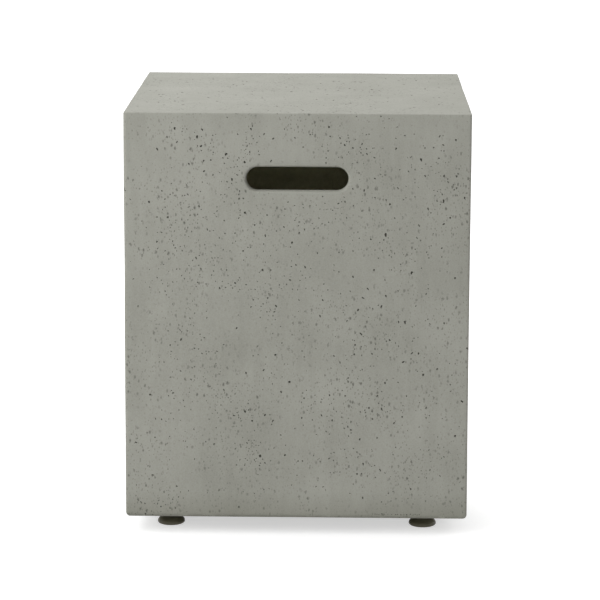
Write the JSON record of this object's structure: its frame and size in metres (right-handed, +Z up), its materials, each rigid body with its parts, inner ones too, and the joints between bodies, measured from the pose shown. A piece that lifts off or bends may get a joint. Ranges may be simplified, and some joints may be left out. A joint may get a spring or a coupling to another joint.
{
  "type": "propane tank cover table",
  "caption": "Open-bottomed square concrete cover table that hides a gas cylinder, with hand slots and screw-adjusted levelling feet",
  "frame": {"origin": "middle of the table, on the floor that the feet stand on when screwed home", "axes": "+Z up, the face with the front hand slot looks along -Y, +X is to its right as seen from the front"},
  "size_m": [0.4064, 0.4064, 0.506],
  "materials": {
    "cast_concrete": "matte",
    "block_concrete": "matte",
    "zinc_steel": "satin",
    "black_nylon": "satin"
  },
  "bodies": {
    "cover": {"cover_shell": "cast_concrete", "corner_block_front_left": "block_concrete", "corner_block_front_right": "block_concrete", "corner_block_rear_left": "block_concrete", "corner_block_rear_right": "block_concrete", "coupling_nut_front_left": "zinc_steel", "coupling_nut_front_right": "zinc_steel", "coupling_nut_rear_left": "zinc_steel", "coupling_nut_rear_right": "zinc_steel"},
    "pad_front_left": {"foot_pad_front_left": "black_nylon"},
    "stem_front_left": {"foot_stem_front_left": "zinc_steel"},
    "pad_front_right": {"foot_pad_front_right": "black_nylon"},
    "stem_front_right": {"foot_stem_front_right": "zinc_steel"},
    "pad_rear_left": {"foot_pad_rear_left": "black_nylon"},
    "stem_rear_left": {"foot_stem_rear_left": "zinc_steel"},
    "pad_rear_right": {"foot_pad_rear_right": "black_nylon"},
    "stem_rear_right": {"foot_stem_rear_right": "zinc_steel"}
  },
  "joints": [
    {"name": "foot_lower_front_left", "type": "slide", "parent": "cover", "child": "pad_front_left", "axis": [0, 0, -1], "range_m": [0, 0.012]},
    {"name": "stem_turn_front_left", "type": "hinge", "parent": "pad_front_left", "child": "stem_front_left", "pos_m": [-0.152, -0.152, 0.021], "axis": [0, 0, -1], "range_deg": [0, 3456]},
    {"name": "foot_lower_front_right", "type": "slide", "parent": "cover", "child": "pad_front_right", "axis": [0, 0, -1], "range_m": [0, 0.012]},
    {"name": "stem_turn_front_right", "type": "hinge", "parent": "pad_front_right", "child": "stem_front_right", "pos_m": [0.152, -0.152, 0.021], "axis": [0, 0, -1], "range_deg": [0, 3456]},
    {"name": "foot_lower_rear_left", "type": "slide", "parent": "cover", "child": "pad_rear_left", "axis": [0, 0, -1], "range_m": [0, 0.012]},
    {"name": "stem_turn_rear_left", "type": "hinge", "parent": "pad_rear_left", "child": "stem_rear_left", "pos_m": [-0.152, 0.152, 0.021], "axis": [0, 0, -1], "range_deg": [0, 3456]},
    {"name": "foot_lower_rear_right", "type": "slide", "parent": "cover", "child": "pad_rear_right", "axis": [0, 0, -1], "range_m": [0, 0.012]},
    {"name": "stem_turn_rear_right", "type": "hinge", "parent": "pad_rear_right", "child": "stem_rear_right", "pos_m": [0.152, 0.152, 0.021], "axis": [0, 0, -1], "range_deg": [0, 3456]}
  ],
  "couplings": [
    {"joint": "stem_turn_front_left", "follows": "foot_lower_front_left", "rad_per_m": 5026.5},
    {"joint": "stem_turn_front_right", "follows": "foot_lower_front_right", "rad_per_m": 5026.5},
    {"joint": "stem_turn_rear_left", "follows": "foot_lower_rear_left", "rad_per_m": 5026.5},
    {"joint": "stem_turn_rear_right", "follows": "foot_lower_rear_right", "rad_per_m": 5026.5}
  ]
}
